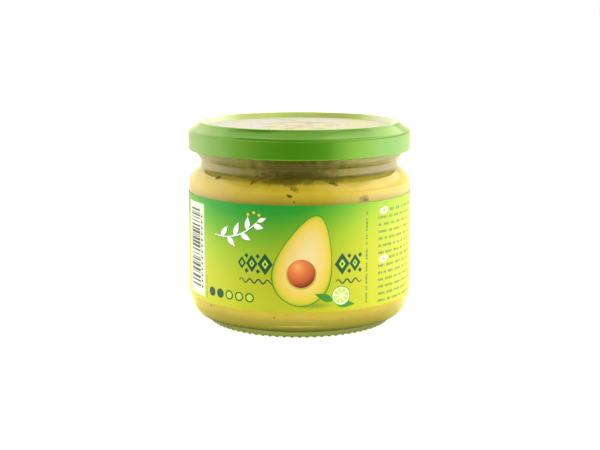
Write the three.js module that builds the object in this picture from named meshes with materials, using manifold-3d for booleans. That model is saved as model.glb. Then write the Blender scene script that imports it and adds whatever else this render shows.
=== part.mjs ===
// A shut glass jar of guacamole dip: a clear soda-lime jar with a knurled foot, the dip that
// fills it to just under the rim, a paper label wrapped round it and a twist-off tinplate lid.
// Millimetres, +Z up. The origin is the middle of the foot, on the surface that the jar stands on.

import * as THREE from 'three';
import { mergeVertices } from 'three/addons/utils/BufferGeometryUtils.js';
import Module from 'manifold-3d';

const wasm = await Module();
wasm.setup();

// ---- Driving dimensions ------------------------------------------------------------------

const BODY_RADIUS = 42.4;          // outside of the glass body
const BODY_WALL = 2.3;
const BODY_BOTTOM = 12.3;          // the heel turns in below this height
const BODY_TOP = 54.0;             // the shoulder turns in above it

const SHOULDER_RADIUS = 37.2;      // where the shoulder's curve would run out level
const SHOULDER_TOP = 59.1;
const SHOULDER_POWER = 1.47;       // 2 is an ellipse, 1 a straight cone

const NECK_RADIUS = 37.7;          // the waist above the shoulder
const NECK_TOP = 61.2;
const FINISH_RADIUS = 39.2;        // the band that carries the lid
const FINISH_BOTTOM = 64.4;
const BORE_RADIUS = 35.4;          // inside of the mouth
const RIM_TOP = 74.0;

const HEEL_RADIUS = 37.0;          // where the heel's curve runs out level
const HEEL_HEIGHT = 2.75;
const HEEL_POWER = 2.3;
const FOOT_RADIUS = 35.3;          // outside of the ring that the jar stands on
const FOOT_INNER_RADIUS = 31.2;
const FOOT_CHAMFER = 0.65;         // between the foot ring and the heel
const PUSH_UP = 3.1;               // rise of the underside at its middle

const KNURL_COUNT = 80;            // short ribs across the foot
const KNURL_HEIGHT = 0.45;
const KNURL_ROOT_WIDTH = 1.7;
const KNURL_TIP_WIDTH = 0.7;
const KNURL_INSET = 0.1;           // the ribs end just short of the ring's edges
const KNURL_BURY = 0.2;            // and reach this far up into the glass

const FLOOR_HEIGHT = 6.0;          // inside bottom of the jar at its middle
const INNER_HEEL_ROUND = 9.0;      // rounding between that floor and the wall

const DIP_LEVEL = 68.5;
const DIP_CLEARANCE = 0.3;         // between the dip and the glass

const LABEL_BOTTOM = 11.3;
const LABEL_TOP = 50.0;
const LABEL_THICKNESS = 0.12;
const LABEL_CLEARANCE = 0.15;      // between the label and the glass

const LID_RADIUS = 42.45;          // outside of the skirt
const LID_SHEET = 0.6;
const LID_BOTTOM = 65.65;
const CURL_RADIUS = 0.6;           // roll of the skirt's lower edge
const SKIRT_TOP = 72.1;
const CORNER_ROUND = 1.4;          // between the skirt and the sloping shelf above it
const SHELF_RADIUS = 39.25;        // where that shelf meets the bead
const SHELF_HEIGHT = 74.9;
const CREST_RADIUS = 37.7;         // the raised bead over the glass rim
const CREST_TOP = 76.2;
const CREST_ROUND = 1.0;
const PANEL_RADIUS = 35.6;         // the sunk middle of the lid
const PANEL_HEIGHT = 74.1;
const BUTTON_RADIUS = 16.0;        // the shallow vacuum button in the panel
const BUTTON_DEPTH = 0.3;
const BUTTON_STEP = 1.0;           // width of the slope round the button
const SEAL_CLEARANCE = 0.35;       // between the sealing channel and the glass rim

const JAR_SEGMENTS = KNURL_COUNT;
const DIP_SEGMENTS = 64;
const LABEL_SEGMENTS = JAR_SEGMENTS;
const LID_SEGMENTS = 64;

// ---- Profiles ----------------------------------------------------------------------------

const at = (radius, height) => new THREE.Vector2(radius, height);

// Quarter of a superellipse: it leaves the point (r0, z0) upright and arrives level at (r1, z1).
function superellipse(r0, z0, r1, z1, power, steps) {
  const points = [];
  for (let i = 0; i <= steps; i++) {
    const turn = (i / steps) * (Math.PI / 2);
    const across = Math.cos(turn) ** (2 / power);
    const along = Math.sin(turn) ** (2 / power);
    points.push(at(r1 + (r0 - r1) * across, z0 + (z1 - z0) * along));
  }
  return points;
}

// Arc about (r, z), from one angle to another in degrees, measured from +R towards +Z.
function arc(r, z, radius, from, to, steps) {
  const points = [];
  for (let i = 0; i <= steps; i++) {
    const angle = THREE.MathUtils.degToRad(from + ((to - from) * i) / steps);
    points.push(at(r + radius * Math.cos(angle), z + radius * Math.sin(angle)));
  }
  return points;
}

// Smooth S-shaped run between two points, upright at both ends.
function sCurve(r0, z0, r1, z1, steps) {
  const points = [];
  for (let i = 0; i <= steps; i++) {
    const part = i / steps;
    const blend = (1 - Math.cos(Math.PI * part)) / 2;
    points.push(at(r0 + (r1 - r0) * blend, z0 + (z1 - z0) * part));
  }
  return points;
}

const RIM_ROUND = (FINISH_RADIUS - BORE_RADIUS) / 2;
const RIM_RADIUS = (FINISH_RADIUS + BORE_RADIUS) / 2;
const INNER_RADIUS = BODY_RADIUS - BODY_WALL;

// Outside of the jar, from the middle of its underside up to the rim.
function outerJarProfile() {
  const underside = superellipse(FOOT_INNER_RADIUS, KNURL_HEIGHT, 0, PUSH_UP, 2, 3).reverse();
  const heel = superellipse(BODY_RADIUS, BODY_BOTTOM, HEEL_RADIUS, HEEL_HEIGHT, HEEL_POWER, 6).reverse();
  const shoulder = superellipse(
    BODY_RADIUS, BODY_TOP, SHOULDER_RADIUS, SHOULDER_TOP, SHOULDER_POWER, 6,
  ).filter((point) => point.x > NECK_RADIUS);
  return [
    ...underside,
    at(FOOT_RADIUS, KNURL_HEIGHT),
    at(FOOT_RADIUS + FOOT_CHAMFER, KNURL_HEIGHT + FOOT_CHAMFER),
    ...heel,
    ...shoulder,
    at(NECK_RADIUS, SHOULDER_TOP),
    ...sCurve(NECK_RADIUS, NECK_TOP, FINISH_RADIUS, FINISH_BOTTOM, 3),
    ...arc(RIM_RADIUS, RIM_TOP - RIM_ROUND, RIM_ROUND, 0, 180, 5),
  ];
}

// Inside of the jar, from the mouth down to the middle of its floor, offset into the jar by
// a clearance: 0 for the glass itself.
function innerJarProfile(clearance) {
  const wall = INNER_RADIUS - clearance;
  const bore = BORE_RADIUS - clearance;
  const floor = FLOOR_HEIGHT + clearance;
  const round = INNER_HEEL_ROUND;
  const shoulder = superellipse(
    wall, BODY_TOP - BODY_WALL / 2, bore, SHOULDER_TOP - clearance, SHOULDER_POWER, 4,
  ).reverse();
  return [
    ...shoulder,
    ...arc(wall - round, floor + round, round, 0, -90, 4),
    at(0, floor),
  ];
}

// ---- Solids ------------------------------------------------------------------------------

// A body turned about +Z from a profile of (radius, height) points.
function turned(profile, segments) {
  const geometry = new THREE.LatheGeometry(profile, segments);
  geometry.rotateX(Math.PI / 2);
  return geometry;
}

function welded(geometry) {
  geometry.deleteAttribute('normal');
  geometry.deleteAttribute('uv');
  return mergeVertices(geometry, 1e-4);
}

function toManifold(geometry) {
  const clean = welded(geometry);
  return new wasm.Manifold(new wasm.Mesh({
    numProp: 3,
    vertProperties: new Float32Array(clean.attributes.position.array),
    triVerts: new Uint32Array(clean.index.array),
  }));
}

function toGeometry(manifold) {
  const mesh = manifold.getMesh();
  const geometry = new THREE.BufferGeometry();
  geometry.setAttribute('position', new THREE.BufferAttribute(mesh.vertProperties, 3));
  geometry.setIndex(new THREE.BufferAttribute(mesh.triVerts, 1));
  geometry.computeVertexNormals();
  return geometry;
}

// One rib of the knurl: a bar that lies radially across the foot, wide at its root.
function knurlRib(index) {
  const root = KNURL_ROOT_WIDTH / 2;
  const tip = KNURL_TIP_WIDTH / 2;
  const top = KNURL_HEIGHT + KNURL_BURY;
  const section = new THREE.Shape([at(-tip, 0), at(tip, 0), at(root, top), at(-root, top)]);
  const length = FOOT_RADIUS - FOOT_INNER_RADIUS - 2 * KNURL_INSET;
  const rib = new THREE.ExtrudeGeometry(section, { depth: length, bevelEnabled: false });
  rib.translate(0, 0, FOOT_INNER_RADIUS + KNURL_INSET);
  rib.rotateX(Math.PI / 2);
  rib.rotateZ((index / KNURL_COUNT) * 2 * Math.PI);
  return rib;
}

function jarGeometry() {
  const shell = turned([...outerJarProfile(), ...innerJarProfile(0)], JAR_SEGMENTS);
  let jar = toManifold(shell);
  for (let i = 0; i < KNURL_COUNT; i++) {
    jar = jar.add(toManifold(knurlRib(i)));
  }
  return toGeometry(jar);
}

function dipGeometry() {
  const mouth = [at(0, DIP_LEVEL), at(BORE_RADIUS - DIP_CLEARANCE, DIP_LEVEL)];
  return turned([...mouth, ...innerJarProfile(DIP_CLEARANCE)].reverse(), DIP_SEGMENTS);
}

function labelGeometry() {
  const inner = BODY_RADIUS + LABEL_CLEARANCE;
  const outer = inner + LABEL_THICKNESS;
  return turned([
    at(inner, LABEL_BOTTOM),
    at(outer, LABEL_BOTTOM),
    at(outer, LABEL_TOP),
    at(inner, LABEL_TOP),
    at(inner, LABEL_BOTTOM),
  ], LABEL_SEGMENTS);
}

// The lid's pressed sheet: its rolled edge, skirt, bead and sunk panel, with the sealing ring
// that fills the bead's underside.
function lidGeometry() {
  const skirtInside = LID_RADIUS - LID_SHEET;
  const curl = arc(LID_RADIUS - CURL_RADIUS, LID_BOTTOM + CURL_RADIUS, CURL_RADIUS, -180, 0, 5);
  const corner = arc(LID_RADIUS - CORNER_ROUND, SKIRT_TOP, CORNER_ROUND, 0, 57, 3);
  const bead = arc(CREST_RADIUS, CREST_TOP - CREST_ROUND, CREST_ROUND, 30, 145, 5);
  const channel = arc(
    RIM_RADIUS, RIM_TOP - RIM_ROUND, RIM_ROUND + SEAL_CLEARANCE, 145, 25, 4,
  );
  const buttonTop = PANEL_HEIGHT - BUTTON_DEPTH;
  const outside = [
    ...curl,
    ...corner,
    at(SHELF_RADIUS, SHELF_HEIGHT),
    ...bead,
    at(PANEL_RADIUS, PANEL_HEIGHT),
    at(BUTTON_RADIUS, PANEL_HEIGHT),
    at(BUTTON_RADIUS - BUTTON_STEP, buttonTop),
    at(0, buttonTop),
  ];
  const inside = [
    at(0, buttonTop - LID_SHEET),
    at(BUTTON_RADIUS - BUTTON_STEP, buttonTop - LID_SHEET),
    at(BUTTON_RADIUS, PANEL_HEIGHT - LID_SHEET),
    at(PANEL_RADIUS - LID_SHEET, PANEL_HEIGHT - LID_SHEET),
    ...channel,
    at(skirtInside, SKIRT_TOP),
    at(skirtInside, LID_BOTTOM + 2 * CURL_RADIUS),
    curl[0],
  ];
  return turned([...outside, ...inside], LID_SEGMENTS);
}

// ---- The jar, its contents, its label and its lid -----------------------------------------

const glass = new THREE.MeshStandardMaterial({
  color: '#dfe8da', roughness: 0.04, metalness: 0, transparent: true, opacity: 0.35,
});
const dip = new THREE.MeshStandardMaterial({ color: '#dcc05a', roughness: 0.5, metalness: 0 });
const paper = new THREE.MeshStandardMaterial({ color: '#9fc62c', roughness: 0.35, metalness: 0 });
const lacquer = new THREE.MeshStandardMaterial({ color: '#6db33c', roughness: 0.3, metalness: 0 });

function piece(name, geometry, material) {
  const mesh = new THREE.Mesh(geometry, material);
  mesh.name = name;
  return mesh;
}

const guacamoleJar = new THREE.Group();
guacamoleJar.add(
  piece('jar', jarGeometry(), glass),
  piece('guacamole', dipGeometry(), dip),
  piece('label', labelGeometry(), paper),
  piece('lid', lidGeometry(), lacquer),
);

export default guacamoleJar;
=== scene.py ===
"""A shut glass jar of guacamole dip: moulded glass with a knurled foot, the dip with its herb
flecks, a printed paper label lapped at the back and a lacquered twist-off lid."""

import math
import random

import bpy
from mathutils import Matrix, Vector
from mathutils.geometry import delaunay_2d_cdt


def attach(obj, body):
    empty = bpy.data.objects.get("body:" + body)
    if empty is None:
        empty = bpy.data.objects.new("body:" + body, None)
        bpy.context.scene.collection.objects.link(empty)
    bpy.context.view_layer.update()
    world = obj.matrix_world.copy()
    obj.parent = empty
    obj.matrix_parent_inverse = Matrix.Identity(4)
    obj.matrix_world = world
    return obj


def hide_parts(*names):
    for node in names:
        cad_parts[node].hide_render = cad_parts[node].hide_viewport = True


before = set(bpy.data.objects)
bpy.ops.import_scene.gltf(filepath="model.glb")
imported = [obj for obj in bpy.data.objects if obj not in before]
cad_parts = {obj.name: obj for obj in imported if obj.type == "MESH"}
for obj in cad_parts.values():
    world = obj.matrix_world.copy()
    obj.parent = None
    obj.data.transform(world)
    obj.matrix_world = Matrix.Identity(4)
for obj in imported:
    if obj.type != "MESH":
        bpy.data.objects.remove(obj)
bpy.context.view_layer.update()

MM = 0.001

# ---- Sizes in millimetres --------------------------------------------------------------------

BODY_RADIUS = 42.4
BODY_WALL = 2.3
BODY_BOTTOM = 12.3  # the heel turns in below this height
BODY_TOP = 54.0  # the shoulder turns in above it
SHOULDER_RADIUS = 37.2
SHOULDER_TOP = 59.1
SHOULDER_POWER = 1.47  # 2 is an ellipse, 1 a straight cone
NECK_RADIUS = 37.7
NECK_TOP = 61.2
FINISH_RADIUS = 39.2  # the band that carries the lid
FINISH_BOTTOM = 64.4
BORE_RADIUS = 35.4
RIM_TOP = 74.0
MOULD_LINES = (63.9, 62.6, 61.0)  # fine raised lines that the parts of the neck ring leave
MOULD_LINE_RISE = 0.11
MOULD_LINE_HALF = 0.3

HEEL_RADIUS = 37.0
HEEL_HEIGHT = 2.75
HEEL_POWER = 2.3
FOOT_RADIUS = 35.3
FOOT_INNER_RADIUS = 31.2
FOOT_CHAMFER = 0.65
PUSH_UP = 3.1  # rise of the underside at its middle
KNURL_COUNT = 80
KNURL_HEIGHT = 0.45
KNURL_ROOT_WIDTH = 1.7
KNURL_TIP_WIDTH = 0.7

FLOOR_HEIGHT = 6.0
INNER_HEEL_ROUND = 9.0
DIP_LEVEL = 68.5
DIP_REACH = 0.15  # the dip's skin lies this far inside the glass, so no air shows between them
DIP_STEPS = 20  # in each curve of its section

LABEL_BOTTOM = 11.3
LABEL_TOP = 50.0
LABEL_RADIUS = 42.67  # printed side
LABEL_THICKNESS = 0.12
LABEL_START = -100.0  # its first edge, measured round the jar from the front
LABEL_LAP = 7.0  # the last edge is glued over the first one
LAP_RISE = 0.13
LAP_RAMP = 2.5

LID_RADIUS = 42.45
LID_SHEET = 0.6
LID_BOTTOM = 65.65
CURL_RADIUS = 0.6
SKIRT_TOP = 72.1
CORNER_ROUND = 1.4
SHELF_RADIUS = 39.25
SHELF_HEIGHT = 74.9
CREST_RADIUS = 37.7
CREST_TOP = 76.18
CREST_ROUND = 1.0
PANEL_RADIUS = 35.6
PANEL_HEIGHT = 74.1
BUTTON_RADIUS = 16.0
BUTTON_DEPTH = 0.3
BUTTON_STEP = 1.0
SEAL_CLEARANCE = 0.35
LID_PRINT_RADIUS = 35.45
LID_PRINT_FILM = 0.05

RIM_ROUND = (FINISH_RADIUS - BORE_RADIUS) / 2
RIM_RADIUS = (FINISH_RADIUS + BORE_RADIUS) / 2
INNER_RADIUS = BODY_RADIUS - BODY_WALL
BUTTON_FLAT = BUTTON_RADIUS - BUTTON_STEP
BUTTON_HEIGHT = PANEL_HEIGHT - BUTTON_DEPTH

GLASS_SEGMENTS = 8 * KNURL_COUNT  # eight steps a rib
DIP_SEGMENTS = 256
LID_SEGMENTS = 256
RULING = 1.5  # the flat print is ruled this closely, so that it bends round the jar
CREASE = 32  # degrees between two faces above which their edge is shaded sharp
WIDE_CREASE = 50  # the same for the knurled glass and the herb flecks


# ---- Nodes, colours and objects ---------------------------------------------------------------


def add(tree, kind, inputs=(), stops=(), **settings):
    """Adds a node with its settings; a shader node's kind goes without its first words. Each
    input, by name or in order, is a constant, a colour's hex code or the node that feeds it."""
    made = tree.nodes.new(kind if "Node" in kind else "ShaderNode" + kind)
    for name, value in settings.items():
        setattr(made, name, value)
    sockets = [s for s in made.inputs if s.enabled]
    if isinstance(inputs, dict):
        by_name = {s.name: s for s in reversed(sockets)}
        sockets, inputs = [by_name[name] for name in inputs], inputs.values()
    for socket, value in zip(sockets, inputs):
        if isinstance(value, bpy.types.Node):
            value = next(s for s in value.outputs if s.enabled)
        if isinstance(value, bpy.types.NodeSocket):
            tree.links.new(value, socket)
        else:
            socket.default_value = paint(value) if is_code(value) else value
    if stops:
        elements = made.color_ramp.elements
        elements[0].position, elements[1].position = stops[0][0], stops[-1][0]
        for place, _ in stops[1:-1]:
            elements.new(place)
        for element, (_, colour) in zip(elements, stops):
            element.color = paint(colour) if is_code(colour) else colour
    return made


def is_code(value):
    return isinstance(value, str) and value.startswith("#")


def paint(code):
    """An sRGB hex colour as linear red, green, blue and alpha."""
    parts = [int(code[i : i + 2], 16) / 255 for i in (1, 3, 5)]
    linear = [c / 12.92 if c <= 0.04045 else ((c + 0.055) / 1.055) ** 2.4 for c in parts]
    return (*linear, 1.0)


def grey(level):
    return (level, level, level, 1.0)


def new_material(name):
    made = bpy.data.materials.new(name)
    made.use_nodes = True
    made.node_tree.nodes.clear()
    return made, made.node_tree


def new_tree(name, inputs):
    """A Geometry Nodes tree with these named inputs; returns it with its input and output nodes."""
    tree = bpy.data.node_groups.new(name, "GeometryNodeTree")
    tree.interface.new_socket("Geometry", in_out="OUTPUT", socket_type="NodeSocketGeometry")
    for label, kind in inputs:
        tree.interface.new_socket(label, in_out="INPUT", socket_type="NodeSocket" + kind)
    return tree, tree.nodes.new("NodeGroupInput"), tree.nodes.new("NodeGroupOutput")


def end_tree(tree, geometry, given, result):
    """Ends a tree with plain geometry that has the given finish."""
    realized = add(tree, "GeometryNodeRealizeInstances", {"Geometry": geometry})
    finish = {"Geometry": realized, "Material": given.outputs["Finish"]}
    finished = add(tree, "GeometryNodeSetMaterial", finish)
    tree.links.new(finished.outputs[0], result.inputs[0])
    return tree


def show(name, mesh):
    made = bpy.data.objects.new(name, mesh)
    bpy.context.scene.collection.objects.link(made)
    return made


def grow(name, base, tree, values):
    """Runs a tree on a mesh with these inputs and returns an object that holds the plain result."""
    made = show(name, base)
    modifier = made.modifiers.new(tree.name, "NODES")
    modifier.node_group = tree
    for item in tree.interface.items_tree:
        if item.in_out == "INPUT" and item.name in values:
            modifier[item.identifier] = values[item.name]
    graph = bpy.context.evaluated_depsgraph_get()
    result = bpy.data.meshes.new_from_object(
        made.evaluated_get(graph), preserve_all_data_layers=True, depsgraph=graph
    )
    made.modifiers.clear()
    made.data = result
    result.name = name
    return made


# ---- Sections of the turned pieces -----------------------------------------------------------


def superellipse(r0, z0, r1, z1, power, steps):
    """Quarter of a superellipse: upright at (r0, z0) and level at (r1, z1)."""
    points = []
    for i in range(steps + 1):
        turn = i / steps * math.pi / 2
        across = max(math.cos(turn), 0.0) ** (2 / power)
        along = math.sin(turn) ** (2 / power)
        points.append((r1 + (r0 - r1) * across, z0 + (z1 - z0) * along))
    return points


def arc(r, z, radius, start, end, steps):
    """Arc about (r, z) between two angles in degrees, from outwards to upwards."""
    points = []
    for i in range(steps + 1):
        angle = math.radians(start + (end - start) * i / steps)
        points.append((r + radius * math.cos(angle), z + radius * math.sin(angle)))
    return points


def s_curve(r0, z0, r1, z1, steps):
    """Smooth S-shaped run between two points, upright at both ends."""
    points = []
    for i in range(steps + 1):
        part = i / steps
        blend = (1 - math.cos(math.pi * part)) / 2
        points.append((r0 + (r1 - r0) * blend, z0 + (z1 - z0) * part))
    return points


def foot_ring():
    """The ring that the jar stands on: (radius, height, how far the knurl reaches down there)."""
    rounded = ((0.0, 0.0), (0.12, 0.55), (0.3, 0.9), (0.6, 1.0))
    inner = [(FOOT_INNER_RADIUS + d, KNURL_HEIGHT, depth) for d, depth in rounded]
    outer = [(FOOT_RADIUS - d, KNURL_HEIGHT, depth) for d, depth in reversed(rounded)]
    return inner + outer


def outer_glass():
    underside = superellipse(FOOT_INNER_RADIUS, KNURL_HEIGHT, 0, PUSH_UP, 2, 10)[::-1][:-1]
    heel = superellipse(BODY_RADIUS, BODY_BOTTOM, HEEL_RADIUS, HEEL_HEIGHT, HEEL_POWER, 20)[::-1]
    shoulder = superellipse(
        BODY_RADIUS, BODY_TOP, SHOULDER_RADIUS, SHOULDER_TOP, SHOULDER_POWER, 22
    )
    shoulder = [p for p in shoulder if p[0] > NECK_RADIUS + 0.05]
    waist = [(NECK_RADIUS, SHOULDER_TOP + (NECK_TOP - SHOULDER_TOP) * i / 7) for i in range(7)]
    band = s_curve(NECK_RADIUS, NECK_TOP, FINISH_RADIUS, FINISH_BOTTOM, 16)
    neck = []
    for r, z in waist + band:
        near = min(abs(z - line) for line in MOULD_LINES) / MOULD_LINE_HALF
        neck.append((r + MOULD_LINE_RISE * max(0.0, 1 - near), z))
    rim = arc(RIM_RADIUS, RIM_TOP - RIM_ROUND, RIM_ROUND, 0, 180, 14)
    chamfer = (FOOT_RADIUS + FOOT_CHAMFER, KNURL_HEIGHT + FOOT_CHAMFER)
    below = [(r, z, 0.0) for r, z in underside] + foot_ring()
    above = [chamfer, *heel, *shoulder, *neck, *rim]
    return below + [(r, z, 0.0) for r, z in above]


def inner_glass(reach, steps=14):
    """Inside of the jar from the mouth down, or a skin that lies deeper in the glass by reach."""
    wall, bore, floor = INNER_RADIUS + reach, BORE_RADIUS + reach, FLOOR_HEIGHT - reach
    shoulder = superellipse(
        wall, BODY_TOP - BODY_WALL / 2, bore, SHOULDER_TOP + reach, SHOULDER_POWER, steps
    )[::-1]
    turn = INNER_HEEL_ROUND
    heel = arc(wall - turn, floor + turn, turn, 0, -90, steps)
    return [(r, z, 0.0) for r, z in [*shoulder, *heel, (0.0, floor)]]


def dip_section():
    top = [(0.0, DIP_LEVEL), (BORE_RADIUS - 1.2, DIP_LEVEL), (BORE_RADIUS - 0.3, DIP_LEVEL + 0.15)]
    edge = [(BORE_RADIUS + DIP_REACH, DIP_LEVEL + 0.3)]
    return [(r, z, 0.0) for r, z in top + edge] + inner_glass(DIP_REACH, DIP_STEPS)


def lid_section():
    inside = LID_RADIUS - LID_SHEET
    curl = arc(LID_RADIUS - CURL_RADIUS, LID_BOTTOM + CURL_RADIUS, CURL_RADIUS, -180, 0, 14)
    corner = arc(LID_RADIUS - CORNER_ROUND, SKIRT_TOP, CORNER_ROUND, 0, 57, 10)
    bead = arc(CREST_RADIUS, CREST_TOP - CREST_ROUND, CREST_ROUND, 30, 145, 14)
    channel = arc(RIM_RADIUS, RIM_TOP - RIM_ROUND, RIM_ROUND + SEAL_CLEARANCE, 145, 25, 12)
    step = s_curve(BUTTON_HEIGHT, BUTTON_FLAT, PANEL_HEIGHT, BUTTON_RADIUS, 6)[::-1]
    button = [(r, z) for z, r in step]
    outside = [*curl, *corner, (SHELF_RADIUS, SHELF_HEIGHT), *bead]
    outside += [(PANEL_RADIUS, PANEL_HEIGHT), *button, (0.0, BUTTON_HEIGHT)]
    underneath = [
        (0.0, BUTTON_HEIGHT - LID_SHEET), (BUTTON_FLAT, BUTTON_HEIGHT - LID_SHEET),
        (BUTTON_RADIUS, PANEL_HEIGHT - LID_SHEET),
        (PANEL_RADIUS - LID_SHEET, PANEL_HEIGHT - LID_SHEET), *channel, (inside, SKIRT_TOP),
        (inside, LID_BOTTOM + 2 * CURL_RADIUS), curl[0],
    ]
    return [(r, z, 0.0) for r, z in outside + underneath]


def section_mesh(name, section):
    """A section as a row of points, with the knurl's depth kept on each."""
    mesh = bpy.data.meshes.new(name)
    mesh.from_pydata([(r * MM, 0, z * MM) for r, z, _ in section], [], [])
    depth = mesh.attributes.new("knurl", "FLOAT", "POINT")
    depth.data.foreach_set("value", [k for _, _, k in section])
    return mesh


def turning_tree():
    """Turns a section round the jar's axis, and presses short ribs into it where it says so."""
    tree, given, result = new_tree(
        "turned piece",
        [
            ("Section", "Geometry"), ("Segments", "Int"), ("Ribs", "Int"), ("Rib height", "Float"),
            ("Rib root width", "Float"), ("Rib tip width", "Float"), ("Finish", "Material"),
        ],
    )
    section, segments, ribs = (given.outputs[n] for n in ("Section", "Segments", "Ribs"))
    rows = add(tree, "GeometryNodeAttributeDomainSize", {"Geometry": section}, component="MESH")
    around = add(tree, "Math", (segments, 1), operation="ADD")
    size = {"Vertices X": rows.outputs["Point Count"], "Vertices Y": around}
    grid = add(tree, "GeometryNodeMeshGrid", size)

    # Each point of the grid finds its row, which stands for a point of the section.
    index = add(tree, "GeometryNodeInputIndex")
    within = add(tree, "Math", (index, 0.5), operation="ADD")
    passed = add(tree, "Math", (within, around), operation="DIVIDE")
    row = add(tree, "Math", (passed,), operation="FLOOR")
    row_start = add(tree, "Math", (row, around), operation="MULTIPLY")
    column = add(tree, "Math", (index, row_start), operation="SUBTRACT")
    position = add(tree, "GeometryNodeInputPosition")
    knurl = add(tree, "GeometryNodeInputNamedAttribute", {"Name": "knurl"}, data_type="FLOAT")
    point, depth = (
        add(
            tree, "GeometryNodeSampleIndex", {"Geometry": section, "Value": value, "Index": row},
            data_type=kind,
        )
        for value, kind in ((position, "FLOAT_VECTOR"), (knurl, "FLOAT"))
    )
    place = add(tree, "SeparateXYZ", (point,))
    radius, height = place.outputs["X"], place.outputs["Z"]

    # How far along the ring the point is from the middle of the nearest rib.
    turn = add(tree, "Math", (column, segments), operation="DIVIDE")
    phase = add(tree, "Math", (turn, ribs), operation="MULTIPLY")
    nearest = add(tree, "Math", (phase,), operation="ROUND")
    past = add(tree, "Math", (phase, nearest), operation="SUBTRACT")
    off = add(tree, "Math", (past,), operation="ABSOLUTE")
    girth = add(tree, "Math", (radius, 2 * math.pi), operation="MULTIPLY")
    pitch = add(tree, "Math", (girth, ribs), operation="DIVIDE")
    away = add(tree, "Math", (off, pitch), operation="MULTIPLY")
    tip, root = (
        add(tree, "Math", (given.outputs[name], 0.5), operation="MULTIPLY")
        for name in ("Rib tip width", "Rib root width")
    )
    flank = add(tree, "MapRange", (away, tip, root, 1.0, 0.0))
    share = add(tree, "Math", (flank, depth), operation="MULTIPLY")
    drop = add(tree, "Math", (share, given.outputs["Rib height"]), operation="MULTIPLY")

    angle = add(tree, "Math", (turn, 2 * math.pi), operation="MULTIPLY")
    sine, cosine = (add(tree, "Math", (angle,), operation=kind) for kind in ("SINE", "COSINE"))
    right = add(tree, "Math", (radius, sine), operation="MULTIPLY")
    front = add(tree, "Math", (radius, cosine), operation="MULTIPLY")
    back = add(tree, "Math", (front, -1), operation="MULTIPLY")
    up = add(tree, "Math", (height, drop), operation="SUBTRACT")
    placed = add(tree, "CombineXYZ", {"X": right, "Y": back, "Z": up})
    moved = add(tree, "GeometryNodeSetPosition", {"Geometry": grid, "Position": placed})
    closed = add(tree, "GeometryNodeMergeByDistance", {"Geometry": moved, "Distance": 1e-6})
    return end_tree(tree, closed, given, result)


def volume(mesh):
    """Signed volume within a closed mesh: negative when its faces point inwards."""
    total = 0.0
    for polygon in mesh.polygons:
        first, *rest = (mesh.vertices[i].co for i in polygon.vertices)
        total += sum(first.dot(a.cross(b)) for a, b in zip(rest, rest[1:])) / 6
    return total


def turn_piece(name, section, segments, finish, crease=CREASE, ribs=1):
    values = {
        "Segments": segments, "Ribs": ribs, "Rib height": KNURL_HEIGHT * MM,
        "Rib root width": KNURL_ROOT_WIDTH * MM, "Rib tip width": KNURL_TIP_WIDTH * MM,
        "Finish": finish,
    }
    piece = grow(name, section_mesh(name + " section", section), TURNING, values)
    if volume(piece.data) < 0:
        piece.data.flip_normals()
    smooth(piece.data, crease)
    return piece


def smooth(mesh, crease):
    mesh.shade_smooth()
    mesh.set_sharp_from_angle(angle=math.radians(crease))


# ---- Flat shapes for the print, in millimetres ------------------------------------------------


def turned_by(points, degrees, centre):
    """Turns points about (0, 0) and moves them to a centre."""
    c, s = math.cos(math.radians(degrees)), math.sin(math.radians(degrees))
    return [(centre[0] + x * c - y * s, centre[1] + x * s + y * c) for x, y in points]


def oval(centre, across, tall, degrees=0.0, steps=40):
    ring = [2 * math.pi * i / steps for i in range(steps)]
    points = [(across * math.cos(a), tall * math.sin(a)) for a in ring]
    return turned_by(points, degrees, centre)


def bar(left, bottom, right, top):
    return [(left, bottom), (right, bottom), (right, top), (left, top)]


def diamond(centre, across, tall):
    return turned_by([(across, 0), (0, tall), (-across, 0), (0, -tall)], 0, centre)


def leaf(stalk, length, width, degrees):
    """A pointed leaf that grows from its stalk and is widest near the stalk."""
    side = []
    steps = 9
    for i in range(1, steps):
        part = i / steps
        swell = math.sin(math.pi * part**0.77) ** 1.15
        side.append((length * part, width / 2 * swell))
    points = [(0, 0), *[(x, -y) for x, y in side], (length, 0), *reversed(side)]
    return turned_by(points, degrees, stalk)


def ribbon(line, width):
    """A drawn line of this width, half as wide at its two ends."""
    left, right = [], []
    last = len(line) - 1
    for i, (x, y) in enumerate(line):
        (ax, ay), (bx, by) = line[max(i - 1, 0)], line[min(i + 1, last)]
        run = math.hypot(bx - ax, by - ay)
        part = abs(2 * i / last - 1)
        half = width / 2 * (1 - part**2 / 2)
        nx, ny = -(by - ay) / run * half, (bx - ax) / run * half
        left.append((x + nx, y + ny))
        right.append((x - nx, y - ny))
    return left + right[::-1]


def bow(start, end, rise, steps):
    """A gentle curve from start to end that stands out to its left by rise."""
    (x0, y0), (x1, y1) = start, end
    run = math.hypot(x1 - x0, y1 - y0)
    nx, ny = -(y1 - y0) / run, (x1 - x0) / run
    points = []
    for i in range(steps + 1):
        part = i / steps
        out = rise * 4 * part * (1 - part)
        points.append((x0 + (x1 - x0) * part + nx * out, y0 + (y1 - y0) * part + ny * out))
    return points


# ---- The label's print ------------------------------------------------------------------------

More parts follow.
